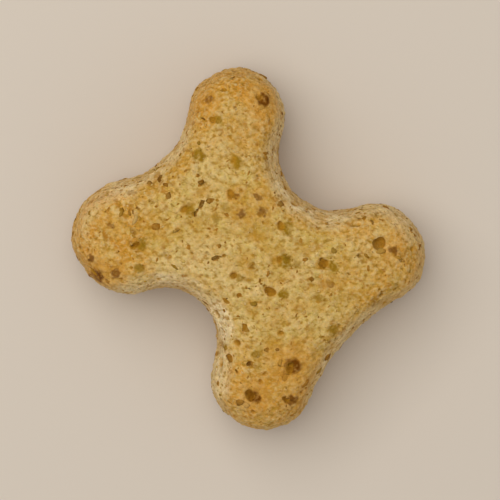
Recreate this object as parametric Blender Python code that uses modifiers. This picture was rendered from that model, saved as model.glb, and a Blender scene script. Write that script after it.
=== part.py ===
"""A plump bone-shaped dog biscuit: four round lobes round a narrow waist, lying on its flat underside.

Metres, +Z up. The bone's length runs along X and its width along Y. The origin is under the middle of the
biscuit, on the surface that it rests on.
"""

import math
import random

import bmesh
import bpy
from mathutils import Euler, Matrix, Vector
from mathutils.bvhtree import BVHTree

# Driving dimensions of the bone. The waist is across the middle, and the body runs from end notch to end notch.
LENGTH = 0.0258
WIDTH = 0.0230
THICKNESS = 0.0108
LOBE_RADIUS = 0.0044
WAIST_WIDTH = 0.0120
BODY_LENGTH = 0.0218

# How far each lobe strays from its even place, and how much fatter it is: along X, along Y, radius.
# The lobes go round the bone anticlockwise from +X+Y.
LOBE_CORNERS = ((1, 1), (-1, 1), (-1, -1), (1, -1))
LOBE_STRAYS = (
    (-0.00065, 0.00016, -0.00015),
    (-0.00030, 0.00006, -0.00030),
    (0.00045, 0.00050, 0.00040),
    (0.00005, -0.00005, -0.00005),
)

# How much further out than even the bay after each lobe bottoms: +Y side, -X end, -Y side, +X end
BAY_STRAYS = (-0.00007, -0.00038, 0.00008, 0.00038)

# The edge's profile: the height of the widest level, and how far the top and the underside draw in from it
SEAM_HEIGHT = 0.0048
TOP_DRAW_IN = 0.0027
BASE_DRAW_IN = 0.0023
EDGE_SQUARENESS = 2.4
EDGE_LEVELS = 8

# How much lower the top is at the corners of the bone's box than in the middle
FACE_DOME = 0.0021

# Baked unevenness: the swell of the crust, its small bumps, and the depth shaved flat underneath
SWELL_HEIGHT = 0.0005
SWELL_SPACING = 0.0052
BUMP_HEIGHT = 0.0002
BUMP_SPACING = 0.0014
BASE_SHAVE = 0.00035

# Bubble holes: the clearest ones on the top face as X, Y and radius, then others spread all over
SHOWN_HOLES = (
    (-0.0087, 0.0098, 0.00055),
    (-0.0102, 0.0057, 0.00040),
    (-0.0081, -0.0106, 0.00060),
    (-0.0072, -0.0064, 0.00045),
    (0.0085, -0.0086, 0.00060),
    (0.0092, -0.0045, 0.00060),
    (0.0110, -0.0066, 0.00045),
    (0.0050, 0.0037, 0.00055),
    (0.0071, 0.0082, 0.00060),
    (0.0021, 0.0013, 0.00045),
    (0.0002, 0.0034, 0.00045),
    (0.0003, -0.0023, 0.00040),
    (-0.0046, 0.0023, 0.00045),
    (-0.0065, -0.0013, 0.00045),
)
SPREAD_HOLES = 58
HOLE_SPACING = 0.0027
HOLE_RADII = (0.00028, 0.00050)
SEED = 41

# A hole is the dent of an uneven ball. How far outside the crust the ball's centre is, and how much the ball is
# stretched or squeezed each way, as shares of its radius
HOLE_CENTRE_SHARE = 0.3
HOLE_STRETCH = 0.3

# Mesh fineness
OUTLINE_STEP = 0.0006
SKIN_CELL = 0.0003
SKIN_SMOOTHING = 6
SKIN_TRIANGLES = 6000
HOLE_SUBDIVISIONS = 2

CRUST_COLOUR = (0.50, 0.31, 0.085, 1.0)
CRUST_ROUGHNESS = 0.85


def clear_scene():
    for obj in list(bpy.data.objects):
        bpy.data.objects.remove(obj)


def new_collection(name):
    collection = bpy.data.collections.new(name)
    bpy.context.scene.collection.children.link(collection)
    return collection


def new_object(name, bm, collection):
    """An object in the collection with the mesh in bm, which this frees."""
    mesh = bpy.data.meshes.new(name)
    bm.to_mesh(mesh)
    bm.free()
    obj = bpy.data.objects.new(name, mesh)
    collection.objects.link(obj)
    return obj


def lobes():
    """Centre and radius of each lobe's circle, anticlockwise."""
    even_x = LENGTH / 2 - LOBE_RADIUS
    even_y = WIDTH / 2 - LOBE_RADIUS
    return [
        (Vector((sx * even_x + dx, sy * even_y + dy)), LOBE_RADIUS + dr)
        for (sx, sy), (dx, dy, dr) in zip(LOBE_CORNERS, LOBE_STRAYS)
    ]


def bay_between(first, second, reach):
    """Centre and radius of the concave circle that touches two lobes from outside.

    reach is how far from the biscuit's middle the bay's deepest point lies.
    """
    (a, ra), (b, rb) = first, second
    half = (b - a).length / 2
    across = (b - a).normalized()
    outward = Vector((across.y, -across.x))
    depth = ((a + b) / 2).dot(outward) - reach
    mean = (ra + rb) / 2
    radius = (half**2 + depth**2 - mean**2) / (2 * (depth + mean))
    # The centre is radius + ra from one lobe and radius + rb from the other.
    along = ((radius + ra) ** 2 - (radius + rb) ** 2 + (2 * half) ** 2) / (4 * half)
    out = math.sqrt((radius + ra) ** 2 - along**2)
    return a + across * along + outward * out, radius


def bays(ring):
    """Centre and radius of the bay after each lobe."""
    reaches = (WAIST_WIDTH / 2, BODY_LENGTH / 2, WAIST_WIDTH / 2, BODY_LENGTH / 2)
    return [
        bay_between(ring[i], ring[(i + 1) % len(ring)], reach + stray)
        for i, (reach, stray) in enumerate(zip(reaches, BAY_STRAYS))
    ]


def heading(start, end):
    return math.atan2(end.y - start.y, end.x - start.x)


def outline_arcs():
    """The outline as arcs, anticlockwise: centre, radius, side (1 for a lobe, -1 for a bay), start, sweep."""
    ring = lobes()
    gaps = bays(ring)
    arcs = []
    for i, (centre, radius) in enumerate(ring):
        bay, bay_radius = gaps[i]
        start = heading(centre, gaps[i - 1][0])
        sweep = (heading(centre, bay) - start) % (2 * math.pi)
        arcs.append((centre, radius, 1, start, sweep))
        next_lobe = ring[(i + 1) % len(ring)][0]
        start = heading(bay, centre)
        sweep = -((start - heading(bay, next_lobe)) % (2 * math.pi))
        arcs.append((bay, bay_radius, -1, start, sweep))
    return arcs


def outline(arcs, inset):
    """Points of the outline drawn in by inset. Each inset gives the same number of points."""
    points = []
    for centre, radius, side, start, sweep in arcs:
        steps = round(radius * abs(sweep) / OUTLINE_STEP)
        drawn = radius - side * inset
        for k in range(steps):
            angle = start + sweep * k / steps
            points.append(centre + drawn * Vector((math.cos(angle), math.sin(angle))))
    return points


def edge_profile():
    """(height, inset) from the underside to the top: two superellipse quarters that meet at the seam."""
    power = 2 / EDGE_SQUARENESS
    levels = []
    for k in range(2 * EDGE_LEVELS + 1):
        turn = math.radians(90) * (k / EDGE_LEVELS - 1)
        rise = abs(math.sin(turn)) ** power
        draw = 1 - math.cos(turn) ** power
        if turn < 0:
            levels.append((SEAM_HEIGHT * (1 - rise), BASE_DRAW_IN * draw))
        else:
            levels.append((SEAM_HEIGHT + (THICKNESS - SEAM_HEIGHT) * rise, TOP_DRAW_IN * draw))
    return levels


def loft_dough():
    """The plain bone: the outline lofted up its edge profile and closed with a flat face at each end."""
    arcs = outline_arcs()
    bm = bmesh.new()
    loops = []
    for height, inset in edge_profile():
        ring = [bm.verts.new((p.x, p.y, height)) for p in outline(arcs, inset)]
        loops.append([bm.edges.new((ring[i - 1], ring[i])) for i in range(len(ring))])
    for lower, upper in zip(loops, loops[1:]):
        bmesh.ops.bridge_loops(bm, edges=lower + upper)
    for end in (loops[0], loops[-1]):
        bmesh.ops.contextual_create(bm, geom=end)
    bmesh.ops.recalc_face_normals(bm, faces=bm.faces)
    return bm


def add_displace(obj, name, height, spacing):
    """Moves the surface in and out by up to half the height, in clouds of the given spacing."""
    texture = bpy.data.textures.new(name, "CLOUDS")
    texture.noise_scale = spacing
    texture.noise_depth = 1
    displace = obj.modifiers.new(name, "DISPLACE")
    displace.texture = texture
    displace.texture_coords = "LOCAL"
    displace.strength = height
    displace.mid_level = 0.5


def bake_modifiers(obj):
    """Replaces the object's mesh with what its modifiers make of it, and removes them."""
    graph = bpy.context.evaluated_depsgraph_get()
    mesh = bpy.data.meshes.new_from_object(obj.evaluated_get(graph))
    obj.modifiers.clear()
    obj.data = mesh


def raise_crust(biscuit):
    """An even skin of small faces, rounded off, with the swell and the small bumps of baked dough."""
    skin = biscuit.modifiers.new("skin", "REMESH")
    skin.mode = "VOXEL"
    skin.voxel_size = SKIN_CELL
    rounding = biscuit.modifiers.new("rounding", "SMOOTH")
    rounding.iterations = SKIN_SMOOTHING
    add_displace(biscuit, "swell", SWELL_HEIGHT, SWELL_SPACING)
    add_displace(biscuit, "bumps", BUMP_HEIGHT, BUMP_SPACING)
    bake_modifiers(biscuit)


def dome_top(biscuit):
    """Lowers the crust towards the lobes, by nothing at the base and most at the top."""
    for vertex in biscuit.data.vertices:
        away = (2 * vertex.co.x / LENGTH) ** 2 + (2 * vertex.co.y / WIDTH) ** 2
        vertex.co.z -= FACE_DOME / 2 * away * max(0.0, vertex.co.z / THICKNESS)


def centre_over_origin(biscuit):
    """Puts the middle of the biscuit's box over the origin, and what is shaved off its base below z = 0."""
    corners = [vertex.co for vertex in biscuit.data.vertices]
    middle_x = (min(c.x for c in corners) + max(c.x for c in corners)) / 2
    middle_y = (min(c.y for c in corners) + max(c.y for c in corners)) / 2
    biscuit.data.transform(Matrix.Translation((-middle_x, -middle_y, -BASE_SHAVE)))


def thin_out(biscuit):
    """Leaves fewer faces where the crust is smooth."""
    biscuit.data.calc_loop_triangles()
    thinner = biscuit.modifiers.new("thinner", "DECIMATE")
    thinner.ratio = SKIN_TRIANGLES / len(biscuit.data.loop_triangles)


def cut_away(biscuit, cutter):
    cutter.hide_render = True
    cutter.display_type = "WIRE"
    cut = biscuit.modifiers.new(cutter.name, "BOOLEAN")
    cut.operation = "DIFFERENCE"
    cut.solver = "EXACT"
    cut.object = cutter


def baking_tray(collection):
    """A block whose top is the level that the underside is flattened on."""
    bm = bmesh.new()
    bmesh.ops.create_cube(bm, size=2 * LENGTH)
    bmesh.ops.translate(bm, verts=bm.verts, vec=(0, 0, -LENGTH))
    return new_object("baking_tray", bm, collection)


def hole_places(crust):
    """Where each bubble hole goes: its point on the crust, the direction out of it, and its radius."""
    places = []
    for x, y, radius in SHOWN_HOLES:
        spot, normal, _, _ = crust.ray_cast(Vector((x, y, 2 * THICKNESS)), Vector((0, 0, -1)))
        places.append((spot, normal, radius))
    draw = random.Random(SEED)
    while len(places) < len(SHOWN_HOLES) + SPREAD_HOLES:
        x = draw.uniform(-LENGTH / 2, LENGTH / 2)
        y = draw.uniform(-WIDTH / 2, WIDTH / 2)
        z = draw.uniform(0, THICKNESS)
        radius = draw.uniform(*HOLE_RADII)
        spot, normal, _, _ = crust.find_nearest(Vector((x, y, z)))
        if all((spot - other).length > HOLE_SPACING for other, _, _ in places):
            places.append((spot, normal, radius))
    return places


def bubbles(biscuit, collection):
    """A small uneven ball for each bubble hole, centred a little outside the crust."""
    crust = BVHTree.FromObject(biscuit, bpy.context.evaluated_depsgraph_get())
    draw = random.Random(SEED)
    bm = bmesh.new()
    for spot, normal, radius in hole_places(crust):
        place = Matrix.Translation(spot + normal * (radius * HOLE_CENTRE_SHARE))
        turn = Euler([draw.uniform(0, math.pi) for _ in "xyz"]).to_matrix().to_4x4()
        stretch = Matrix.Diagonal([1 + draw.uniform(-1, 1) * HOLE_STRETCH for _ in "xyz"] + [1])
        bmesh.ops.create_icosphere(
            bm, subdivisions=HOLE_SUBDIVISIONS, radius=radius, matrix=place @ turn @ stretch
        )
    return new_object("bubbles", bm, collection)


def crust_material():
    material = bpy.data.materials.new("baked_crust")
    material.use_nodes = True
    shader = material.node_tree.nodes["Principled BSDF"]
    shader.inputs["Base Color"].default_value = CRUST_COLOUR
    shader.inputs["Roughness"].default_value = CRUST_ROUGHNESS
    shader.inputs["Metallic"].default_value = 0.0
    return material


def build_biscuit():
    parts = new_collection("dog_biscuit")
    cutters = new_collection("cutters")
    biscuit = new_object("biscuit", loft_dough(), parts)
    raise_crust(biscuit)
    dome_top(biscuit)
    centre_over_origin(biscuit)
    thin_out(biscuit)
    cut_away(biscuit, baking_tray(cutters))
    cut_away(biscuit, bubbles(biscuit, cutters))
    biscuit.data.materials.append(crust_material())
    biscuit.data.shade_smooth()


clear_scene()
build_biscuit()
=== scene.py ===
"""A small bone-shaped dog biscuit: its baked crust with the bran in it, on a pale floor under soft light.

Metres, +Z up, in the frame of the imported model. The bone's length runs along X and it rests on its flat base.
"""

import math

import bmesh
import bpy
from bpy.props import FloatProperty, FloatVectorProperty, IntProperty, PointerProperty
from mathutils import Matrix, Vector


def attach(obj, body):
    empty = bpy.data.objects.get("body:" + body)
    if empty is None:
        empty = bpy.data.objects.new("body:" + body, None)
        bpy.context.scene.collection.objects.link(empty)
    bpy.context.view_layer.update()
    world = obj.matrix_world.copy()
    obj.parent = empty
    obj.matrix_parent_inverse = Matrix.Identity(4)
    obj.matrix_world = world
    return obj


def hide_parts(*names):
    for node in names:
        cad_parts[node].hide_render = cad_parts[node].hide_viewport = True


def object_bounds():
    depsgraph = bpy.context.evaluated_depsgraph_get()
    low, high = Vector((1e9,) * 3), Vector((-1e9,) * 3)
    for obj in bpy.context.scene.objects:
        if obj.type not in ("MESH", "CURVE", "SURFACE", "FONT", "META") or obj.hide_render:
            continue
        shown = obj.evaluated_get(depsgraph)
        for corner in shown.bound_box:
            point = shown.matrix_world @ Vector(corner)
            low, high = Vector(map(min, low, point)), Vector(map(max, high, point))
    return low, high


bl_info = {
    "name": "Dog Biscuit",
    "version": (1, 0, 0),
    "blender": (4, 5, 0),
    "location": "View3D > Sidebar > Biscuit",
    "description": "Makes the crust and the bran of a baked biscuit, and the stage that it lies on",
    "category": "Add Mesh",
}

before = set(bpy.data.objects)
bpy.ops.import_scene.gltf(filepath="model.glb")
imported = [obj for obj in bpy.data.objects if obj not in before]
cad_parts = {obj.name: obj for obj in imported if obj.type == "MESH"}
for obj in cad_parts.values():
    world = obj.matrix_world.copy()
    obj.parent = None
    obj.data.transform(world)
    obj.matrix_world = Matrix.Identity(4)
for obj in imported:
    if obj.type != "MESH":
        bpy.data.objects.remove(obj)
CAD_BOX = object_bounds()
HALF_LENGTH = CAD_BOX[1][0]
HALF_WIDTH = CAD_BOX[1][1]
HEIGHT = CAD_BOX[1][2]

SOLID = "biscuit"
BODY = "root"

MM = 0.001

# Points of the solid's mesh that are nearer than this are one point
MERGE_DISTANCE = 0.001 * MM

# How far the floor lies under the base, so that the two don't share a plane
FLOOR_GAP = 0.02 * MM

# Attributes that the crust's mesh carries: how deep in a bubble hole a point is, how near one, how raised,
# whether it is in a hole or a pore, and which way the skin faces without its relief
PIT = "pit"
HALO = "halo"
RELIEF = "relief"
HOLE = "hole"
SKIN = "skin"

# Attributes that the strewn pieces carry: the tone of each, and how far a point stands out of the crust
TONE = "tone"
LIFT = "lift"

# How far a point lies under the skin round it where each attribute starts, and where it is full
HOLE_DEPTHS = (0.02 * MM, 0.16 * MM)
PIT_DEPTHS = (0.02 * MM, 0.32 * MM)
HALO_DEPTHS = (-0.05 * MM, 0.06 * MM)
RELIEF_DEPTHS = (0.035 * MM, -0.035 * MM)
RELIEF_BLUR = 3

# Spacing of the unevenness of the crust, and of the clusters in which the bran and the meal lie
LUMP_SPACING = 2.1 * MM
BUMP_SPACING = 0.85 * MM
GRAIN_SPACING = 0.34 * MM
CRUMB_SPACING = 0.55 * MM
CLUSTER_SPACING = 3.2 * MM

# How many uneven kinds of flake or grain there are, and how far one leans from lying flat, in radians
KINDS = 9
LARGEST_LEAN = 0.25

# Meal that is baked into the dough, as spacing, strength and seed
BAKED_MEAL = (
    (0.50 * MM, 0.60, 5.5),
    (0.24 * MM, 0.55, 7.7),
)

# Flecks of bran that lie in the dough, as spacing, the smallest and the largest radius as shares of it, the
# share of the places that hold one, strength and seed
BAKED_FLECKS = (
    (2.5 * MM, (0.16, 0.42), 0.45, 0.65, 0.37),
    (1.4 * MM, (0.20, 0.46), 0.55, 0.72, 1.21),
    (0.75 * MM, (0.16, 0.42), 0.32, 0.75, 2.83),
)

# The toasted ends of the four lobes, as X, Y, radius and amount
LOBE_TOAST = (
    (0.67 * HALF_LENGTH, 0.68 * HALF_WIDTH, 0.0062, 0.65),
    (-0.80 * HALF_LENGTH, 0.66 * HALF_WIDTH, 0.0062, 1.0),
    (-0.72 * HALF_LENGTH, -0.66 * HALF_WIDTH, 0.0062, 1.15),
    (0.72 * HALF_LENGTH, -0.68 * HALF_WIDTH, 0.0062, 1.0),
)

# Broad patches of the body's top, as X, Y, radius and amount: where it browned more, and where it stayed pale
WARM_PATCHES = (
    (-0.0026, 0.0027, 0.0028, 0.85),
    (0.0076, 0.0032, 0.0034, 0.9),
    (0.0023, 0.0040, 0.0032, 0.5),
)
PALE_PATCHES = (
    (-0.0012, -0.0040, 0.0042, 1.0),
    (-0.0060, 0.0015, 0.0030, 0.65),
    (-0.0066, 0.0062, 0.0032, 1.0),
)

# Where a painted highlight lies along the rounded edge of the top, as X, Y, radius and amount
EDGE_HIGHLIGHT_PATCHES = (
    (0.0018, -0.0064, 0.0034, 1.0),
    (-0.0022, -0.0062, 0.0030, 0.7),
    (-0.0042, -0.0090, 0.0024, 0.35),
    (-0.0034, 0.0078, 0.0024, 0.25),
    (-0.0004, 0.0064, 0.0028, 0.55),
    (0.0026, 0.0068, 0.0026, 0.35),
    (0.0056, -0.0092, 0.0026, 0.5),
    (-0.0120, -0.0070, 0.0024, 0.25),
    (-0.0120, -0.0046, 0.0028, 0.4),
    (0.0071, 0.0110, 0.0022, 0.4),
)

# Specks of bran that lie under the skin of the top, as X, Y, radius and amount: rust-brown ones, each with a
# golden ring that many times as wide, and softer olive-brown ones. They fade in between two heights, so
# that none runs down a side
RING_WIDTH = 3.4
SPECK_HEIGHTS = (0.60 * HEIGHT, 0.74 * HEIGHT)
RUST_SPECKS = (
    (-0.0077, -0.0106, 0.0008, 1.0),
    (-0.0067, -0.0092, 0.0005, 0.8),
    (-0.0091, -0.0098, 0.0004, 0.8),
    (-0.0098, -0.0066, 0.0004, 0.6),
    (-0.0082, 0.0099, 0.0007, 1.0),
    (-0.0115, 0.0066, 0.0005, 0.7),
    (-0.0042, 0.0026, 0.0004, 0.8),
    (-0.0028, 0.0018, 0.0005, 0.8),
    (-0.0017, 0.0032, 0.0005, 0.7),
    (-0.0029, 0.0038, 0.0004, 0.7),
    (0.0066, 0.0029, 0.0004, 0.6),
    (0.0083, 0.0086, 0.0005, 0.8),
    (0.0089, -0.0083, 0.0007, 1.0),
    (0.0093, -0.0042, 0.0009, 1.0),
    (0.0113, -0.0063, 0.0006, 0.8),
)
OLIVE_SPECKS = (
    (-0.0069, -0.0060, 0.0007, 1.0),
    (-0.0098, 0.0060, 0.0006, 0.9),
    (-0.0057, -0.0075, 0.0006, 0.9),
    (-0.0062, 0.0046, 0.0007, 1.0),
    (-0.0087, 0.0028, 0.0007, 1.0),
    (-0.0062, -0.0010, 0.0007, 1.0),
    (-0.0042, 0.0012, 0.0006, 0.7),
    (-0.0041, 0.0001, 0.0006, 0.75),
    (0.0007, 0.0036, 0.0008, 1.0),
    (0.0025, 0.0016, 0.0009, 1.0),
    (0.0008, -0.0021, 0.0005, 0.8),
    (0.0044, -0.0005, 0.0006, 1.0),
    (0.0034, 0.0021, 0.0005, 0.6),
    (0.0057, 0.0041, 0.0006, 1.0),
    (0.0068, 0.0015, 0.0005, 0.8),
    (0.0063, -0.0058, 0.0005, 0.8),
    (0.0095, 0.0004, 0.0006, 0.9),
)

# The bubble holes of the top where the painted shade inside is deepest, as X, Y, radius and amount
HOLES_WITH_DEEPEST_SHADE = (
    (-0.0087, 0.0098, 0.0014, 1.0),
    (-0.0081, -0.0106, 0.0014, 1.0),
    (-0.0072, -0.0064, 0.0014, 0.7),
    (0.0085, -0.0086, 0.0014, 1.0),
    (0.0092, -0.0045, 0.0014, 0.8),
    (0.0110, -0.0066, 0.0014, 0.7),
    (0.0050, 0.0037, 0.0014, 0.6),
    (0.0074, 0.0083, 0.0014, 0.3),
)

# Image right and image up of the photograph, on the biscuit
IMAGE_RIGHT = Vector((1, 1, 0)).normalized()
IMAGE_UP = Vector((-1, 1, 0)).normalized()

# The camera's sensor in millimetres, and how near to the lens it sees
SENSOR_WIDTH = 36.0
NEAREST_SEEN = 0.01

# The main light stands towards -X, and the fill light opposite, lower and that many times as large
KEY_AZIMUTH = math.pi
FILL_AZIMUTH = 0.0
FILL_HEIGHT = math.radians(35)
FILL_SIZE = 2


class Socket:
    """A node's output. An expression on it adds the Math nodes that work it out."""

    def __init__(self, graph, output):
        self.graph = graph
        self.output = output

    def math(self, operation, *others):
        values = dict(enumerate((self,) + others))
        return self.graph.add("ShaderNodeMath", {"operation": operation}, values).out("Value")

    def __add__(self, other):
        return self.math("ADD", other)

    def __sub__(self, other):
        return self.math("SUBTRACT", other)

    def __rsub__(self, other):
        return (self * -1) + other

    def __mul__(self, other):
        return self.math("MULTIPLY", other)

    def __truediv__(self, other):
        return self.math("DIVIDE", other)

    def __pow__(self, other):
        return self.math("POWER", other)

    __radd__ = __add__
    __rmul__ = __mul__

    def most(self, other):
        return self.math("MAXIMUM", other)

    def ramp(self, start, end):
        """0 at start and beyond it, 1 at end and beyond it, smooth between them."""
        inputs = {"Value": self, "From Min": start, "From Max": end}
        settings = {"interpolation_type": "SMOOTHSTEP"}
        return self.graph.add("ShaderNodeMapRange", settings, inputs).out("Result")


class Node:
    """A node with its outputs at hand by name."""

    def __init__(self, graph, node):
        self.graph = graph
        self.node = node

    def out(self, name):
        found = [s for s in self.node.outputs if s.name == name and s.enabled]
        return Socket(self.graph, found[0])


class Graph:
    """Adds nodes to one node tree."""

    def __init__(self, tree):
        self.tree = tree

    def add(self, kind, settings=None, inputs=None):
        """A new node: its settings first, then a value or a link for each input, by name or number."""
        node = self.tree.nodes.new(kind)
        for name, value in (settings or {}).items():
            if name == "stops":
                self.set_stops(node.color_ramp, value)
            else:
                setattr(node, name, value)
        for key, value in (inputs or {}).items():
            self.feed(node, key, value)
        return Node(self, node)

    def feed(self, node, key, value):
        if isinstance(key, int):
            target = node.inputs[key]
        else:
            target = [s for s in node.inputs if s.name == key and s.enabled][0]
        if isinstance(value, Socket):
            self.tree.links.new(value.output, target)
        else:
            target.default_value = value

    def set_stops(self, ramp, stops):
        """Colours along a ramp, as (place, colour) pairs."""
        while len(ramp.elements) > 1:
            ramp.elements.remove(ramp.elements[-1])
        ramp.elements[0].position = stops[0][0]
        ramp.elements[0].color = opaque(stops[0][1])
        for place, colour in stops[1:]:
            ramp.elements.new(place).color = opaque(colour)

    def mix(self, factor, first, second, blend="MIX"):
        """One colour laid over another."""
        settings = {"data_type": "RGBA", "blend_type": blend}
        values = {0: factor, 6: shade(first), 7: shade(second)}
        return Socket(self, self.add("ShaderNodeMix", settings, values).node.outputs[2])

    def between(self, factor, first, second):
        """A vector that lies that far from the first towards the second."""
        values = {0: factor, 4: first, 5: second}
        return Socket(self, self.add("ShaderNodeMix", {"data_type": "VECTOR"}, values).node.outputs[1])

    def lit(self, colour, value):
        """The colour made lighter or darker by that factor."""
        return self.mix(1.0, colour, self.join(value, value, value), "MULTIPLY")

    def vector(self, operation, *values, output="Vector"):
        inputs = dict(enumerate(values))
        return self.add("ShaderNodeVectorMath", {"operation": operation}, inputs).out(output)

    def length(self, vector):
        return self.vector("LENGTH", vector, output="Value")

    def dot(self, first, second):
        return self.vector("DOT_PRODUCT", first, second, output="Value")

    def scaled(self, vector, factor):
        inputs = {0: vector, "Scale": factor}
        return self.add("ShaderNodeVectorMath", {"operation": "SCALE"}, inputs).out("Vector")

    def axes(self, vector):
        """The X, Y and Z of a vector."""
        split = self.add("ShaderNodeSeparateXYZ", None, {0: vector})
        return [split.out(axis) for axis in "XYZ"]

    def join(self, x, y, z):
        return self.add("ShaderNodeCombineXYZ", None, {0: x, 1: y, 2: z}).out("Vector")

    def noise_node(self, place, size, seed, detail, roughness):
        inputs = {"Vector": place, "W": seed, "Scale": 1 / size, "Detail": detail, "Roughness": roughness}
        return self.add("ShaderNodeTexNoise", {"noise_dimensions": "4D"}, inputs)

    def noise(self, place, size, seed=0.0, detail=1.0, roughness=0.5):
        """Clouds of about the given size, from 0 to 1 and mostly near 0.5."""
        return self.noise_node(place, size, seed, detail, roughness).out("Fac")

    def wobble(self, place, size, reach, seed=0.0):
        """The place, pushed about by up to half the reach in clouds of the given size."""
        colour = self.noise_node(place, size, seed, 1.0, 0.5).out("Color")
        push = self.vector("SUBTRACT", colour, (0.5, 0.5, 0.5))
        return self.vector("ADD", place, self.scaled(push, reach))

    def voronoi(self, place, scale):
        return self.add("ShaderNodeTexVoronoi", None, {"Vector": place, "Scale": scale})

    def bump(self, height, depth, strength=1.0):
        """Low relief of that depth, for a surface's Normal."""
        inputs = {"Strength": strength, "Distance": depth, "Height": height}
        return self.add("ShaderNodeBump", None, inputs).out("Normal")

    def attribute(self, name, output="Fac"):
        """What the mesh carries under that name, in a material."""
        return self.add("ShaderNodeAttribute", {"attribute_name": name}).out(output)


def opaque(colour):
    return (colour[0], colour[1], colour[2], 1.0)


def shade(value):
    """A colour as a node's colour input takes it; a link stays as it is."""
    return value if isinstance(value, Socket) else opaque(value)


def new_material(name):
    """A material with an empty node tree."""
    material = bpy.data.materials.new(name)
    material.use_nodes = True
    material.node_tree.nodes.clear()
    return material, Graph(material.node_tree)


def show_surface(graph, inputs):
    """Ends a material in one shader with those inputs."""
    shader = graph.add("ShaderNodeBsdfPrincipled", None, inputs).out("BSDF")
    graph.add("ShaderNodeOutputMaterial", None, {"Surface": shader})


def cells(graph, place, spacing, seed):
    """Cells of about the given spacing, softly warped: how far out in its cell a point is, and three random
    numbers for each cell."""
    warped = graph.wobble(place, spacing * 0.6, spacing * 0.8, seed)
    voronoi = graph.voronoi(warped, 1 / spacing)
    return voronoi.out("Distance"), graph.axes(voronoi.out("Color"))


def speckle(graph, place, spacing, radii, share, seed):
    """Flecks that lie in the dough, by an entry of BAKED_FLECKS: how much of one there is at a place, and a
    random number for each fleck."""
    inputs = {
        "Vector": graph.wobble(place, spacing * 0.45, spacing * 0.8, seed),
        "Rotation": (0.4 + seed, 1.1 * seed, 0.7 - seed),
        "Scale": (1 / spacing, 1.7 / spacing, 1.2 / spacing),
    }
    turned = graph.add("ShaderNodeMapping", None, inputs).out("Vector")
    voronoi = graph.voronoi(turned, 1.0)
    size, kind, tone = graph.axes(voronoi.out("Color"))
    radius = radii[0] + (radii[1] - radii[0]) * (size * size)
    edge = voronoi.out("Distance") / radius
    return edge.ramp(1.05, 0.50) * kind.ramp(share + 0.001, share - 0.001), tone


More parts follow.
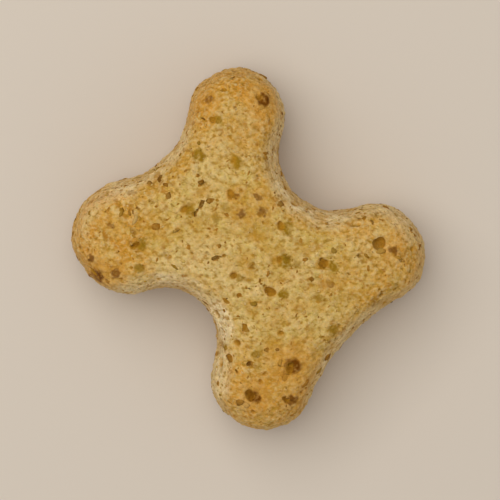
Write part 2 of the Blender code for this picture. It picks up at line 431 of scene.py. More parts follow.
class CrustPaint:
    """The crust's colour, laid on layer by layer, and the clouds and patches that its layers share."""

    def __init__(self, graph, looks):
        self.graph = graph
        self.looks = looks
        self.place = graph.add("ShaderNodeTexCoord").out("Object")
        self.x, self.y, self.z = graph.axes(self.place)
        self.facing = graph.axes(graph.attribute(SKIN, "Vector"))[2]
        self.steep = self.facing.ramp(0.64, 0.35)
        self.patches = graph.noise(self.place, 1.3 * MM, seed=4.1, detail=4.0, roughness=0.7)
        self.grain = graph.noise(self.place, 0.30 * MM, seed=2.2, detail=3.0, roughness=0.7)
        self.fine = graph.noise(self.place, 0.12 * MM, seed=6.4)
        blotches = graph.noise(self.place, 1.8 * MM, seed=12.0, detail=4.0, roughness=0.65)
        self.blotches = blotches.ramp(0.40, 0.58)
        self.wavy = graph.wobble(self.place, 2.6 * MM, reach=3.4 * MM, seed=15.0)
        self.toast = spots(graph, self.wavy, LOBE_TOAST)
        self.colour = None

    def lay(self, amount, colour):
        """Lays so much of a colour over what there is."""
        self.colour = self.graph.mix(amount, self.colour, colour)

    def mottle(self):
        """Golden tan that drifts between olive and rosy, with pale and deep patches."""
        looks = self.looks
        broad = self.graph.noise(self.place, 5.5 * MM, seed=1.7, detail=2.0)
        hue = self.graph.noise(self.place, 0.9 * MM, seed=9.3, detail=4.0, roughness=0.7)
        warm = spots(self.graph, self.wavy, WARM_PATCHES)
        pale = spots(self.graph, self.wavy, PALE_PATCHES)
        self.colour = self.graph.mix(hue.ramp(0.36, 0.64), looks.olive, looks.rosy)
        self.lay(0.45, looks.dough)
        self.lay(broad.ramp(0.42, 0.66) * 0.42 + pale * 0.32, looks.pale)
        self.lay(self.patches.ramp(0.52, 0.34) * (0.30 + 0.35 * warm), looks.deep)
        self.lay(warm * (0.15 + 0.32 * self.blotches), looks.deep)

    def toast_lobes(self):
        """Browner where the top turns down, as it toasted there, and more so towards +Y and at the -X end as
        painted shade of those sides; and toasted on the ends of the lobes.
        """
        # The growth of the edge's browning towards +Y and towards the -X end is painted shade
        edge = self.facing.ramp(0.995, 0.88) * (0.25 + 0.75 * self.y.ramp(-7.0 * MM, 0.0))
        ends = 0.30 * self.x.ramp(-6.0 * MM, -11.0 * MM)
        self.lay(edge * (0.25 + 0.35 * self.blotches + ends), self.looks.toasted)
        self.lay(edge * 0.20, self.looks.deep)
        self.lay(self.toast * (0.30 + 0.60 * self.blotches + 0.35 * self.steep), self.looks.toasted)

    def paint_pale_sides_and_edge_highlight(self):
        """Paler on the steep sides between the lobes, which baked less, with a painted rim highlight there too,
        and a painted highlight along parts of the rounded edge.
        """
        untoasted = 1 - 0.90 * self.toast.ramp(0.0, 0.9)
        self.lay(self.steep * untoasted * (0.60 + 0.6 * self.patches), self.looks.pale_side_and_rim_highlight)
        band = self.facing.ramp(0.88, 0.68) * self.facing.ramp(0.0, 0.30)
        painted_edge_highlight = spots(self.graph, self.wavy, EDGE_HIGHLIGHT_PATCHES, core=0.5)
        self.lay(band * painted_edge_highlight * (0.55 + 0.45 * self.patches.ramp(0.35, 0.55)) * 0.85, self.looks.edge)

    def brown_base(self):
        """The underside and a ring just over it, browned on the tray."""
        under = self.facing.ramp(-0.35, -0.85)
        ring = self.z.ramp(1.3 * MM, 0.2 * MM) * self.facing.ramp(0.4, 0.0)
        self.lay(under * 0.75, self.looks.underside)
        self.lay(ring * 0.35, self.looks.underside)

    def mix_in_meal(self):
        """Coarse and fine meal in the dough, some of it browner and some paler than the rest."""
        for spacing, strength, seed in BAKED_MEAL:
            out, (first, second, third) = cells(self.graph, self.place, spacing, seed)
            body = out.ramp(0.75, 0.25) * strength
            self.lay(first.ramp(0.80, 0.98) * body, self.looks.bran_rust)
            self.lay(second.ramp(0.72, 0.95) * body * 0.8, self.looks.pale)
            self.lay(third.ramp(0.75, 1.0) * body * 0.7, self.looks.deep)

    def mix_in_bran(self):
        """Flecks of bran in the dough, more of them where it is toasted."""
        stops = (
            (0.0, self.looks.bran_dark),
            (0.22, self.looks.bran_brown),
            (0.55, self.looks.bran_rust),
            (0.85, self.looks.bran_olive),
        )
        for spacing, radii, share, strength, seed in BAKED_FLECKS:
            amount, tone = speckle(self.graph, self.place, spacing, radii, share + 0.35 * self.toast, seed)
            fleck = self.graph.add("ShaderNodeValToRGB", {"stops": stops}, {0: tone}).out("Color")
            self.lay(amount * self.grain.ramp(0.25, 0.60) * strength, fleck)

    def paint_crevice_shade_and_crumb_highlight(self):
        """Painted shade, darker, laid between the crumbs, and a painted highlight, paler, laid on them."""
        relief = self.graph.attribute(RELIEF)
        self.lay(relief.ramp(0.45, 0.0) * 0.65, self.looks.painted_crevice_shade)
        self.lay(relief.ramp(0.55, 1.0) * 0.45, self.looks.pale)

    def paint_hole_halo_and_shade(self):
        """A golden halo round each bubble hole and pore, and painted shade inside that deepens with depth."""
        dark = spots(self.graph, self.place, HOLES_WITH_DEEPEST_SHADE)
        painted_hole_shade = 0.22 + 0.60 * dark + 0.15 * self.grain.ramp(0.62, 0.34)
        self.lay(self.graph.attribute(HALO) * (0.35 + 0.4 * self.blotches), self.looks.halo)
        self.lay(self.graph.attribute(PIT).ramp(0.0, 0.9) * painted_hole_shade, self.looks.pit)


def crust_material(looks):
    """Golden-tan baked dough: mottled, toasted on the lobes, paler at the sides, with painted shade in its
    crevices and bubble holes and painted highlights on its edge and crumbs.
    """
    material, graph = new_material("baked_crust")
    paint = CrustPaint(graph, looks)
    paint.mottle()
    paint.toast_lobes()
    paint.paint_pale_sides_and_edge_highlight()
    paint.brown_base()
    paint.mix_in_meal()
    paint.mix_in_bran()
    paint.paint_crevice_shade_and_crumb_highlight()
    paint.colour = specked(graph, paint.place, paint.colour, looks)
    paint.paint_hole_halo_and_shade()

    value = 0.81 + 0.27 * paint.grain.ramp(0.30, 0.70) + 0.26 * paint.fine
    inputs = {
        "Base Color": graph.lit(paint.colour, value),
        "Roughness": 0.72 + 0.22 * paint.grain,
        "Normal": graph.bump(paint.grain * 0.6 + paint.fine * 0.4, 0.15 * MM),
        "Specular IOR Level": 0.06,
        "Sheen Weight": 0.06,
        "Sheen Roughness": 0.40,
        "Sheen Tint": (1.0, 0.88, 0.68, 1.0),
        "Subsurface Weight": 0.15,
        "Subsurface Radius": (1.0, 0.55, 0.20),
        "Subsurface Scale": 0.15 * MM,
    }
    show_surface(graph, inputs)
    return material


def spots(graph, place, patches, core=0.32):
    """How much of a patch there is at a place: its amount out to the core, which is a share of its radius,
    then less, and 0 at the radius. Height doesn't count."""
    x, y = graph.axes(place)[:2]
    total = None
    for patch_x, patch_y, radius, amount in patches:
        dx = x - patch_x
        dy = y - patch_y
        away = (dx * dx + dy * dy) ** 0.5
        spot = away.ramp(radius, core * radius) * amount
        total = spot if total is None else total.most(spot)
    return total


def specked(graph, place, colour, looks):
    """The colour with the named specks and their rings over it."""
    torn = graph.wobble(place, 0.5 * MM, reach=0.8 * MM, seed=19.0)
    high = graph.axes(place)[2].ramp(*SPECK_HEIGHTS)
    crumbly = (0.55 + 0.45 * graph.noise(place, 0.40 * MM, seed=27.0, detail=2.0).ramp(0.35, 0.52)) * high
    rings = [(x, y, RING_WIDTH * radius, amount) for x, y, radius, amount in RUST_SPECKS]
    colour = graph.mix(spots(graph, torn, rings) * high * 0.55, colour, looks.toasted)
    colour = graph.mix(spots(graph, torn, OLIVE_SPECKS, core=0.45) * crumbly, colour, looks.bran_olive)
    return graph.mix(spots(graph, torn, RUST_SPECKS, core=0.50) * crumbly, colour, looks.speck)


def strewn_material(name, looks, stops, dusting):
    """Meal or husk of the grain. stops are its colours by tone, and dusting how much dough covers it."""
    material, graph = new_material(name)
    place = graph.add("ShaderNodeTexCoord").out("Object")
    streaks = graph.noise(place, 0.10 * MM, seed=3.3, detail=2.0)
    blotch = graph.noise(place, 0.30 * MM, seed=8.8, detail=2.0)
    colour = graph.add("ShaderNodeValToRGB", {"stops": stops}, {0: graph.attribute(TONE)}).out("Color")
    colour = graph.mix(blotch.ramp(0.38, 0.66) * dusting, colour, looks.dough)
    # The dough clings to the edges, which lie lowest in the crust
    sunk = graph.attribute(LIFT).ramp(0.035 * MM, 0.0)
    colour = graph.mix(sunk * (0.35 + 0.55 * blotch.ramp(0.35, 0.60)), colour, looks.toasted)
    colour = specked(graph, place, colour, looks)
    inputs = {
        "Base Color": graph.lit(colour, 0.65 + 0.60 * streaks),
        "Roughness": 0.6 + 0.2 * blotch,
        "Normal": graph.bump(streaks, 0.03 * MM, strength=0.5),
        "Specular IOR Level": 0.06,
    }
    show_surface(graph, inputs)
    return material


def bran_material(looks):
    stops = (
        (0.0, looks.bran_dark),
        (0.18, looks.bran_brown),
        (0.50, looks.bran_rust),
        (0.74, looks.bran_olive),
        (0.97, looks.bran_pale),
    )
    return strewn_material("bran_husk", looks, stops, 0.25)


def meal_material(looks):
    stops = (
        (0.0, looks.bran_brown),
        (0.10, looks.bran_rust),
        (0.22, looks.deep),
        (0.45, looks.dough),
        (0.75, looks.pale),
        (1.0, looks.bran_pale),
    )
    return strewn_material("coarse_meal", looks, stops, 0.30)


def plain_material(name, colour, roughness):
    material, graph = new_material(name)
    inputs = {"Base Color": opaque(colour), "Roughness": roughness, "Specular IOR Level": 0.2}
    show_surface(graph, inputs)
    return material


class Recipe:
    """A Geometry Nodes tree with a mesh in, a mesh out and named inputs for its sizes."""

    def __init__(self, name):
        self.tree = bpy.data.node_groups.new(name, "GeometryNodeTree")
        self.graph = Graph(self.tree)
        for side in ("INPUT", "OUTPUT"):
            self.tree.interface.new_socket("Geometry", in_out=side, socket_type="NodeSocketGeometry")
        self.source = self.graph.add("NodeGroupInput")
        self.values = {}

    def input(self, name, value, kind="NodeSocketFloat"):
        """A named input of the tree that the modifier sets to the value."""
        socket = self.tree.interface.new_socket(name, in_out="INPUT", socket_type=kind)
        self.values[socket.identifier] = value
        return self.source.out(name)

    def mesh(self):
        return self.source.out("Geometry")

    def end(self, geometry, material):
        """Realizes what the tree made, gives it its material and sends it out."""
        graph = self.graph
        finish = self.input("Material", material, "NodeSocketMaterial")
        real = graph.add("GeometryNodeRealizeInstances", None, {"Geometry": geometry}).out("Geometry")
        smooth = graph.add("GeometryNodeSetShadeSmooth", None, {"Geometry": real}).out("Geometry")
        inputs = {"Geometry": smooth, "Material": finish}
        coated = graph.add("GeometryNodeSetMaterial", None, inputs).out("Geometry")
        graph.add("NodeGroupOutput", None, {"Geometry": coated})

    def bake(self, obj):
        """Runs the tree on the object and leaves its result as the object's plain mesh."""
        modifier = obj.modifiers.new(self.tree.name, "NODES")
        modifier.node_group = self.tree
        for identifier, value in self.values.items():
            modifier[identifier] = value
        bake_modifiers(obj)


def bake_modifiers(obj):
    """Leaves what the object's modifiers make of it as its plain mesh."""
    depsgraph = bpy.context.evaluated_depsgraph_get()
    evaluated = obj.evaluated_get(depsgraph)
    mesh = bpy.data.meshes.new_from_object(evaluated, preserve_all_data_layers=True, depsgraph=depsgraph)
    mesh.name = obj.name
    obj.modifiers.clear()
    obj.data = mesh


def new_piece(name, mesh):
    obj = bpy.data.objects.new(name, mesh)
    bpy.context.scene.collection.objects.link(obj)
    return obj


def finish_piece(obj):
    """Attaches the piece to the body that it moves with, and hides the solid that it stands for."""
    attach(obj, BODY)
    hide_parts(SOLID)


def solid_copy(name):
    """A copy of the CAD solid's mesh with its loose triangles merged."""
    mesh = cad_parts[SOLID].data.copy()
    mesh.name = name
    mesh.materials.clear()
    bm = bmesh.new()
    bm.from_mesh(mesh)
    bmesh.ops.remove_doubles(bm, verts=bm.verts, dist=MERGE_DISTANCE)
    bm.to_mesh(mesh)
    bm.free()
    return mesh


def blurred(graph, value, passes):
    inputs = {"Value": value, "Iterations": passes}
    return graph.add("GeometryNodeBlurAttribute", {"data_type": "FLOAT_VECTOR"}, inputs).out("Value")


def store(graph, geometry, name, value, kind="FLOAT", domain="POINT"):
    inputs = {"Geometry": geometry, "Name": name, "Value": value}
    settings = {"data_type": kind, "domain": domain}
    return graph.add("GeometryNodeStoreNamedAttribute", settings, inputs).out("Geometry")


def random_value(graph, low, high, seed):
    inputs = {"Min": low, "Max": high, "Seed": seed}
    return graph.add("FunctionNodeRandomValue", None, inputs).out("Value")


def scatter(graph, mesh, density, seed):
    """Points at random places of a mesh, so many to a square metre."""
    inputs = {"Mesh": mesh, "Density": density, "Seed": seed}
    return graph.add("GeometryNodeDistributePointsOnFaces", None, inputs).out("Points")


def move(graph, geometry, offset):
    inputs = {"Geometry": geometry, "Offset": offset}
    return graph.add("GeometryNodeSetPosition", None, inputs).out("Geometry")


def move_to(graph, geometry, place):
    inputs = {"Geometry": geometry, "Position": place}
    return graph.add("GeometryNodeSetPosition", None, inputs).out("Geometry")


def set_on_base(graph, geometry, place):
    """Keeps every point on or over the surface that the biscuit rests on."""
    x, y, z = graph.axes(place)
    return move_to(graph, geometry, graph.join(x, y, z.most(0.0)))


def crust_recipe(settings, material):
    """The baked surface of the crust, and the attributes that its material reads."""
    recipe = Recipe("Baked relief")
    graph = recipe.graph
    lump = recipe.input("Lump Depth", settings.lump_depth)
    bump = recipe.input("Bump Depth", settings.bump_depth)
    grain = recipe.input("Grain Depth", settings.grain_depth)
    crumb = recipe.input("Crumb Depth", settings.crumb_depth)
    deepening = recipe.input("Hole Deepening", settings.hole_deepening)
    pore_depth = recipe.input("Pore Depth", settings.pore_depth)

    place = graph.add("GeometryNodeInputPosition").out("Position")
    normal = graph.add("GeometryNodeInputNormal").out("Normal")
    geometry = ragged_holes(recipe, settings, place, normal)
    geometry = smooth_facets(recipe, settings, geometry, place, normal)
    pore, pore_size = pores(recipe, settings, geometry, place)
    hole = named(graph, HOLE)

    lumps = graph.noise(place, LUMP_SPACING, seed=3.0)
    bumps = graph.noise(place, BUMP_SPACING, seed=7.0, detail=2.0, roughness=0.6)
    grains = graph.noise(place, GRAIN_SPACING, seed=11.0, detail=2.0, roughness=0.6)
    warped = graph.wobble(place, 0.40 * MM, reach=0.35 * MM, seed=13.0)
    crumbs = graph.voronoi(warped, 1 / CRUMB_SPACING).out("Distance")
    height = lump * (lumps - 0.5) + bump * (bumps - 0.5) + grain * (grains - 0.5)
    height = height + crumb * (0.5 - crumbs)
    height = height - deepening * hole * (0.5 + bumps) - pore_depth * pore_size * pore

    geometry = store(graph, geometry, PIT, named(graph, PIT).most(pore * 0.6))
    geometry = store(graph, geometry, HOLE, hole.most(pore))
    geometry = move(graph, geometry, graph.scaled(normal, height))
    geometry = set_on_base(graph, geometry, place)
    relief = sunk_below(graph, place, normal, RELIEF_BLUR).ramp(*RELIEF_DEPTHS)
    recipe.end(store(graph, geometry, RELIEF, relief), material)
    return recipe


def ragged_holes(recipe, settings, place, normal):
    """Stores how deep each point lies in the solid's bubble holes, and makes their edges ragged, along the
    skin and not through it."""
    graph = recipe.graph
    reach = recipe.input("Hole Blur", settings.hole_blur, "NodeSocketInt")
    ragged = recipe.input("Hole Raggedness", settings.hole_raggedness)
    depth = sunk_below(graph, place, normal, reach)
    geometry = store(graph, recipe.mesh(), HOLE, depth.ramp(*HOLE_DEPTHS))
    geometry = store(graph, geometry, PIT, depth.ramp(*PIT_DEPTHS))
    geometry = store(graph, geometry, HALO, depth.ramp(*HALO_DEPTHS))
    torn = graph.wobble(place, 0.50 * MM, reach=ragged * named(graph, HALO), seed=17.0)
    push = graph.vector("SUBTRACT", torn, place)
    through = graph.scaled(normal, graph.dot(push, normal))
    return move(graph, geometry, graph.vector("SUBTRACT", push, through))


def smooth_facets(recipe, settings, geometry, place, normal):
    """Smooths out the solid's facets, less so in the holes, and stores which way the skin faces."""
    graph = recipe.graph
    passes = recipe.input("Facet Smoothing", settings.facet_smoothing, "NodeSocketInt")
    sharpness = recipe.input("Hole Sharpness", settings.hole_sharpness)
    smooth = blurred(graph, place, passes)
    geometry = move_to(graph, geometry, graph.between(named(graph, HOLE) * sharpness, smooth, place))
    return store(graph, geometry, SKIN, blurred(graph, normal, passes), "FLOAT_VECTOR")


def pores(recipe, settings, geometry, place):
    """Small pores: how far in one a point is, and how large that pore is as a share of the largest."""
    graph = recipe.graph
    density = recipe.input("Pores Per Area", settings.pore_density)
    largest = recipe.input("Pore Radius", settings.pore_radius)
    seed = recipe.input("Seed", settings.seed, "NodeSocketInt")
    share = random_value(graph, 0.0, 1.0, seed)
    dots = scatter(graph, geometry, density, seed)
    dots = store(graph, dots, "radius", largest * (0.35 + 0.65 * share * share))
    warped = graph.wobble(place, 0.45 * MM, reach=0.42 * MM, seed=5.0)
    inputs = {"Geometry": dots, "Sample Position": warped}
    nearest = graph.add("GeometryNodeSampleNearest", None, inputs).out("Index")
    centre = sample(graph, dots, "FLOAT_VECTOR", place, nearest)
    radius = sample(graph, dots, "FLOAT", named(graph, "radius"), nearest)
    away = graph.length(graph.vector("SUBTRACT", warped, centre)) / radius
    return away.ramp(1.0, 0.15), radius / largest


def sunk_below(graph, place, normal, passes):
    """How far a point lies under the surface round it, as blurred by that many passes."""
    return graph.dot(graph.vector("SUBTRACT", blurred(graph, place, passes), place), normal)


def named(graph, name, kind="FLOAT"):
    """What the mesh carries under that name, in a recipe."""
    return graph.add("GeometryNodeInputNamedAttribute", {"data_type": kind}, {"Name": name}).out("Attribute")


def sample(graph, geometry, kind, value, index):
    """A value at one point of another geometry."""
    inputs = {"Geometry": geometry, "Value": value, "Index": index}
    return graph.add("GeometryNodeSampleIndex", {"data_type": kind}, inputs).out("Value")


def strewn_recipe(name, settings, shape, material):
    """Pieces of one kind, strewn over the crust and sunk into it. shape makes one piece, 2 across."""
    recipe = Recipe(name)
    graph = recipe.graph
    density = recipe.input("Pieces Per Area", settings.density)
    smallest = recipe.input("Smallest", settings.smallest)
    largest = recipe.input("Largest", settings.largest)
    rarity = recipe.input("Rarity Of Large Ones", settings.rarity)
    thickness = recipe.input("Thickness", settings.thickness)
    plumpness = recipe.input("Plumpness", settings.plumpness)
    sinking = recipe.input("Sinking", settings.sinking)
    raggedness = recipe.input("Raggedness", settings.raggedness)
    seed = recipe.input("Seed", settings.seed, "NodeSocketInt")

    place = graph.add("GeometryNodeInputPosition").out("Position")
    skin = named(graph, SKIN, "FLOAT_VECTOR")
    clusters = graph.noise(place, CLUSTER_SPACING, seed=21.0).ramp(0.30, 0.70)
    off_base = graph.axes(skin)[2].ramp(-0.85, -0.60)
    clear = (1 - named(graph, HOLE).ramp(0.1, 0.4)) * off_base
    dots = scatter(graph, recipe.mesh(), density * (0.55 + 0.9 * clusters) * clear, seed)

    share = random_value(graph, 0.0, 1.0, seed + 1)
    half = smallest + (largest - smallest) * share ** rarity
    narrow = random_value(graph, 0.30, 0.80, seed + 2)
    thick = (thickness + plumpness * half) * random_value(graph, 0.7, 1.2, seed + 3)
    sunk = thick * random_value(graph, sinking, 1.0, seed + 4)
    inputs = {
        "Points": move(graph, dots, graph.scaled(skin, sunk * -1)),
        "Instance": ragged_kinds(graph, shape, raggedness),
        "Pick Instance": True,
        "Rotation": lying_flat(graph, skin, seed),
        "Scale": graph.join(half, half * narrow, thick),
    }
    pieces = graph.add("GeometryNodeInstanceOnPoints", None, inputs).out("Instances")
    pieces = store(graph, pieces, TONE, random_value(graph, 0.0, 1.0, seed + 8), domain="INSTANCE")
    real = graph.add("GeometryNodeRealizeInstances", None, {"Geometry": pieces}).out("Geometry")
    real = set_on_base(graph, real, place)

    inputs = {"Geometry": recipe.mesh(), "Sample Position": place}
    below = graph.add("GeometryNodeProximity", None, inputs).out("Position")
    lift = graph.dot(graph.vector("SUBTRACT", place, below), skin)
    recipe.end(store(graph, real, LIFT, lift), material)
    return recipe


def lying_flat(graph, skin, seed):
    """A rotation that lays a piece on the skin, leaning a little and turned at random."""
    turn = graph.join(
        random_value(graph, -LARGEST_LEAN, LARGEST_LEAN, seed + 5),
        random_value(graph, -LARGEST_LEAN, LARGEST_LEAN, seed + 6),
        random_value(graph, 0.0, 2 * math.pi, seed + 7),
    )
    spin = graph.add("FunctionNodeEulerToRotation", None, {"Euler": turn}).out("Rotation")
    flat = graph.add("FunctionNodeAlignRotationToVector", {"axis": "Z"}, {"Vector": skin}).out("Rotation")
    inputs = {"Rotation": flat, "Rotate By": spin}
    return graph.add("FunctionNodeRotateRotation", {"rotation_space": "LOCAL"}, inputs).out("Rotation")


def ragged_kinds(graph, shape, raggedness):
    """A few uneven kinds of the shape, one of which is picked for each piece."""
    place = graph.add("GeometryNodeInputPosition").out("Position")
    kinds = graph.add("GeometryNodeGeometryToInstance")
    for kind in range(KINDS):
        push = graph.noise_node(place, 1.1, 3.7 * kind, 2.0, 0.6).out("Color")
        push = graph.vector("SUBTRACT", push, (0.5, 0.5, 0.5))
        push = graph.vector("MULTIPLY", push, (2.0, 2.0, 0.8))
        uneven = move(graph, shape(graph), graph.scaled(push, raggedness))
        graph.tree.links.new(uneven.output, kinds.node.inputs[0])
    return kinds.out("Instances")


def flake_shape(graph):
    return graph.add("GeometryNodeMeshUVSphere", None, {"Segments": 8, "Rings": 4, "Radius": 1.0}).out("Mesh")


def grain_shape(graph):
    return graph.add("GeometryNodeMeshIcoSphere", None, {"Subdivisions": 1, "Radius": 1.0}).out("Mesh")


def number(name, description, default, **options):
    return FloatProperty(name=name, description=description, default=default, **options)


def size_property(name, description, default):
    return number(name, description, default, min=0.0, unit="LENGTH", precision=5)


def share_property(name, description, default):
    return number(name, description, default, min=0.0)


def whole_property(name, description, default):
    return IntProperty(name=name, description=description, default=default, min=0)


def colour_property(name, description, default):
    return FloatVectorProperty(
        name=name, description=description, default=default, size=3, min=0.0, max=1.0, subtype="COLOR"
    )


class BiscuitLooks(bpy.types.PropertyGroup):
    """Colours of the dough and the bran."""

    dough: colour_property("Dough", "Golden tan of the baked crust", (0.560, 0.373, 0.096))
    pale: colour_property("Pale", "Where the crust baked least", (0.655, 0.478, 0.205))
    deep: colour_property("Deep", "Darker mottling of the crust", (0.425, 0.245, 0.022))
    olive: colour_property("Olive", "Greener side of the mottling", (0.525, 0.385, 0.103))
    rosy: colour_property("Rosy", "Redder side of the mottling", (0.625, 0.382, 0.130))
    toasted: colour_property("Toasted", "The ends of the lobes", (0.545, 0.255, 0.036))
    # Paler sides that baked less, and a painted rim highlight where the sides turn steep
    pale_side_and_rim_highlight: colour_property("Rim", "The sides of the waist and the bays", (0.70, 0.52, 0.26))
    # Painted highlight along parts of the rounded edge
    edge: colour_property("Edge", "Where the rounded edge stayed palest", (0.86, 0.70, 0.42))
    underside: colour_property("Underside", "The base, browned on its tray", (0.36, 0.18, 0.045))
    halo: colour_property("Halo", "Round a bubble hole", (0.44, 0.21, 0.014))
    # Painted shade deep in a bubble hole and a pore
    pit: colour_property("Pit", "Deep in a bubble hole", (0.19, 0.072, 0.003))
    # Painted shade between the crumbs of the surface
    painted_crevice_shade: colour_property("Crevice", "Between the crumbs of the surface", (0.29, 0.15, 0.007))
    speck: colour_property("Speck", "The rust-brown specks under the skin", (0.15, 0.046, 0.001))
    bran_dark: colour_property("Dark bran", "The darkest flakes", (0.12, 0.045, 0.003))
    bran_brown: colour_property("Brown bran", "Most flakes", (0.23, 0.095, 0.006))
    bran_rust: colour_property("Rust bran", "Reddish flakes", (0.34, 0.135, 0.009))
    bran_olive: colour_property("Olive bran", "Yellowish-brown flakes", (0.27, 0.145, 0.008))
    bran_pale: colour_property("Pale bran", "The inside of the husk", (0.60, 0.38, 0.13))


class CrustSettings(bpy.types.PropertyGroup):
    """Sizes of the crust's relief."""

    cell: size_property("Cell", "Spacing of the crust's mesh", 0.15 * MM)
    facet_smoothing: whole_property("Facet smoothing", "Passes that round off the solid's facets", 8)
    hole_blur: whole_property("Hole blur", "Passes that find the skin over a bubble hole", 60)
    hole_deepening: size_property("Hole deepening", "How much deeper the bubble holes go", 0.12 * MM)
    hole_raggedness: size_property("Hole raggedness", "How uneven the edges of the holes are", 1.10 * MM)
    hole_sharpness: share_property("Hole sharpness", "How little the edges of the holes are rounded", 0.50)
    lump_depth: size_property("Lump depth", "Broad unevenness of the dough", 0.40 * MM)
    bump_depth: size_property("Bump depth", "Small bumps of the dough", 0.34 * MM)
    grain_depth: size_property("Grain depth", "Sandy grain of the crust", 0.20 * MM)
    crumb_depth: size_property("Crumb depth", "Crumbs that the surface is made of", 0.11 * MM)
    pore_density: number("Pores per area", "Pores in a square metre", 0.22e6, min=0.0)
    pore_radius: size_property("Pore radius", "Radius of the largest pore", 0.30 * MM)
    pore_depth: size_property("Pore depth", "Depth of the largest pore", 0.28 * MM)
    seed: whole_property("Seed", "Another draw of the pores", 7)


class BranSettings(bpy.types.PropertyGroup):
    """Number and sizes of the bran flakes."""

    density: number("Flakes per area", "Flakes in a square metre", 0.50e6, min=0.0)
    smallest: size_property("Smallest flake", "Half the length of the smallest flake", 0.12 * MM)
    largest: size_property("Largest flake", "Half the length of the largest flake", 0.55 * MM)
    rarity: share_property("Rarity", "How rare the large flakes are", 3.0)
    thickness: size_property("Thickness", "Half the thickness of a flake", 0.05 * MM)
    plumpness: share_property("Plumpness", "How much thicker a longer flake is", 0.10)
    sinking: share_property("Sinking", "Least part of a flake's thickness that is sunk", 0.0)
    raggedness: share_property("Raggedness", "How uneven a flake's outline is", 1.0)
    seed: whole_property("Seed", "Another draw of the flakes", 23)


class MealSettings(bpy.types.PropertyGroup):
    """Number and sizes of the grains of coarse meal."""

    density: number("Grains per area", "Grains in a square metre", 3.2e6, min=0.0)
    smallest: size_property("Smallest grain", "Half the length of the smallest grain", 0.06 * MM)
    largest: size_property("Largest grain", "Half the length of the largest grain", 0.21 * MM)
    rarity: share_property("Rarity", "How rare the large grains are", 2.0)
    thickness: size_property("Thickness", "Half the thickness of the smallest grain", 0.02 * MM)
    plumpness: share_property("Plumpness", "How much thicker a longer grain is", 0.60)
    sinking: share_property("Sinking", "Least part of a grain's thickness that is sunk", 0.30)
    raggedness: share_property("Raggedness", "How uneven a grain's outline is", 0.6)
    seed: whole_property("Seed", "Another draw of the grains", 61)


class StageSettings(bpy.types.PropertyGroup):
    """The floor, the lights and the camera."""

    floor_side: size_property("Floor side", "Side of the square floor", 1.6)
    floor_colour: colour_property("Floor", "Pale paper under the biscuit", (0.65, 0.565, 0.468))
    key_power: number("Key power", "Power of the main light", 0.70, min=0.0, subtype="POWER")
    key_height: number("Key height", "How high the main light stands", math.radians(68), subtype="ANGLE")
    key_size: size_property("Key size", "Side of the main light", 0.30)
    fill_power: number("Fill power", "Power of the light opposite", 0.15, min=0.0, subtype="POWER")
    light_distance: size_property("Light distance", "From the biscuit to each light", 0.32)
    sky: share_property("Sky", "Strength of the light from all round", 0.42)
    view_width: size_property("View width", "How much of the floor the picture shows", 42.5 * MM)
    view_lean: number("View lean", "Between the camera and straight above", math.radians(3), subtype="ANGLE")
    lens: number("Lens", "Focal length in millimetres", 250.0, min=1.0)


class BISCUIT_OT_crust(bpy.types.Operator):
    """Makes the baked crust over the form of the solid"""

    bl_idname = "biscuit.crust"
    bl_label = "Make Crust"

    def execute(self, context):
        settings = context.scene.biscuit_crust
        crust = new_piece("crust", solid_copy("crust"))
        remesh = crust.modifiers.new("Fine mesh", "REMESH")
        remesh.mode = "VOXEL"
        remesh.voxel_size = settings.cell
        bake_modifiers(crust)
        crust_recipe(settings, crust_material(context.scene.biscuit_looks)).bake(crust)
        finish_piece(crust)
        return {"FINISHED"}


class BISCUIT_OT_bran(bpy.types.Operator):
    """Strews the bran flakes over the crust"""

    bl_idname = "biscuit.bran"
    bl_label = "Strew Bran"

    def execute(self, context):
        scene = context.scene
        strew("bran_flakes", scene.biscuit_bran, flake_shape, bran_material(scene.biscuit_looks))
        return {"FINISHED"}


class BISCUIT_OT_meal(bpy.types.Operator):
    """Strews the grains of coarse meal over the crust"""

    bl_idname = "biscuit.meal"
    bl_label = "Strew Meal"

    def execute(self, context):
        scene = context.scene
        strew("meal_grains", scene.biscuit_meal, grain_shape, meal_material(scene.biscuit_looks))
        return {"FINISHED"}


def strew(name, settings, shape, material):
    crust = bpy.data.objects.get("crust")
    if crust is None:
        raise RuntimeError("the crust is made before what is strewn over it")
    pieces = new_piece(name, crust.data.copy())
    pieces.data.materials.clear()
    strewn_recipe(name, settings, shape, material).bake(pieces)
    finish_piece(pieces)


class BISCUIT_OT_stage(bpy.types.Operator):
    """Lays the floor, hangs the lights and sets up the camera"""

    bl_idname = "biscuit.stage"
    bl_label = "Set Stage"

    def execute(self, context):
        settings = context.scene.biscuit_stage
        lay_floor(settings)
        far = settings.light_distance
        side = settings.key_size
        hang_light("key", settings.key_power, far, KEY_AZIMUTH, settings.key_height, side)
        hang_light("fill", settings.fill_power, far, FILL_AZIMUTH, FILL_HEIGHT, FILL_SIZE * side)
        set_sky(context.scene, settings.sky)
        set_camera(context.scene, settings)
        context.scene.view_settings.view_transform = "Standard"
        return {"FINISHED"}


def lay_floor(settings):
    bm = bmesh.new()
    under = Matrix.Translation((0, 0, -FLOOR_GAP))
    bmesh.ops.create_grid(bm, x_segments=1, y_segments=1, size=settings.floor_side / 2, matrix=under)
    mesh = bpy.data.meshes.new("floor")
    bm.to_mesh(mesh)
    bm.free()
    mesh.materials.append(plain_material("pale_floor", settings.floor_colour, 0.8))
    new_piece("floor", mesh)


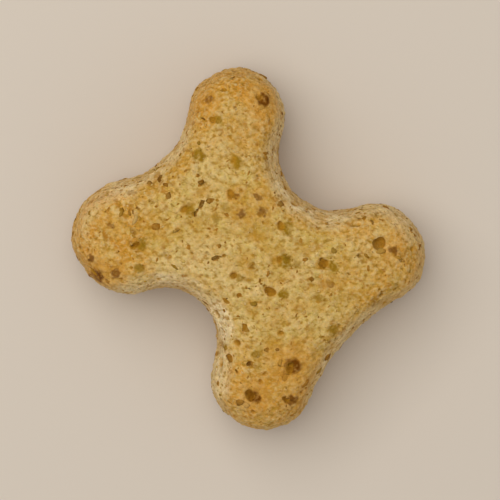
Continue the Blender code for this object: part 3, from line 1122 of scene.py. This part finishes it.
def hang_light(name, power, distance, azimuth, height, side):
    """A square soft light at that azimuth and height, turned to the biscuit."""
    light = bpy.data.lights.new(name, "AREA")
    light.energy = power
    light.size = side
    level = math.cos(height)
    away = Vector((math.cos(azimuth) * level, math.sin(azimuth) * level, math.sin(height)))
    lamp = bpy.data.objects.new(name, light)
    lamp.location = away * distance
    lamp.rotation_euler = away.to_track_quat("Z", "Y").to_euler()
    bpy.context.scene.collection.objects.link(lamp)


def set_sky(scene, strength):
    world = bpy.data.worlds.new("soft_sky")
    world.use_nodes = True
    world.node_tree.nodes.clear()
    graph = Graph(world.node_tree)
    glow = graph.add("ShaderNodeBackground", None, {"Color": (1.0, 1.0, 1.0, 1.0), "Strength": strength})
    graph.add("ShaderNodeOutputWorld", None, {"Surface": glow.out("Background")})
    scene.world = world


def set_camera(scene, settings):
    """The camera looks down on the biscuit, with the bone turned as in the photograph."""
    lens = bpy.data.cameras.new("camera")
    lens.lens = settings.lens
    lens.sensor_width = SENSOR_WIDTH
    lens.clip_start = NEAREST_SEEN
    away = Vector((0, 0, 1)) * math.cos(settings.view_lean) + IMAGE_UP * math.sin(settings.view_lean)
    camera = bpy.data.objects.new("camera", lens)
    turn = Matrix((IMAGE_RIGHT, away.cross(IMAGE_RIGHT), away)).transposed()
    distance = settings.view_width * settings.lens / SENSOR_WIDTH
    camera.matrix_world = Matrix.Translation(Vector((0, 0, HEIGHT / 2)) + away * distance) @ turn.to_4x4()
    scene.collection.objects.link(camera)
    scene.camera = camera


class BISCUIT_PT_panel(bpy.types.Panel):
    """Lists the pieces of the biscuit and their settings"""

    bl_idname = "BISCUIT_PT_panel"
    bl_label = "Dog Biscuit"
    bl_space_type = "VIEW_3D"
    bl_region_type = "UI"
    bl_category = "Biscuit"

    def draw(self, context):
        scene = context.scene
        for operator, groups in STEPS:
            box = self.layout.box()
            box.operator(operator)
            for group in groups:
                settings = getattr(scene, group)
                for name in settings.__annotations__:
                    box.prop(settings, name)


STEPS = (
    ("biscuit.crust", ("biscuit_crust", "biscuit_looks")),
    ("biscuit.bran", ("biscuit_bran",)),
    ("biscuit.meal", ("biscuit_meal",)),
    ("biscuit.stage", ("biscuit_stage",)),
)

GROUPS = {
    "biscuit_looks": BiscuitLooks,
    "biscuit_crust": CrustSettings,
    "biscuit_bran": BranSettings,
    "biscuit_meal": MealSettings,
    "biscuit_stage": StageSettings,
}

CLASSES = (
    *GROUPS.values(),
    BISCUIT_OT_crust,
    BISCUIT_OT_bran,
    BISCUIT_OT_meal,
    BISCUIT_OT_stage,
    BISCUIT_PT_panel,
)


def register():
    for cls in CLASSES:
        bpy.utils.register_class(cls)
    for name, group in GROUPS.items():
        setattr(bpy.types.Scene, name, PointerProperty(type=group))


def unregister():
    for name in GROUPS:
        delattr(bpy.types.Scene, name)
    for cls in reversed(CLASSES):
        bpy.utils.unregister_class(cls)


def main():
    register()
    bpy.ops.biscuit.crust()
    bpy.ops.biscuit.bran()
    bpy.ops.biscuit.meal()
    bpy.ops.biscuit.stage()


if __name__ == "__main__":
    main()
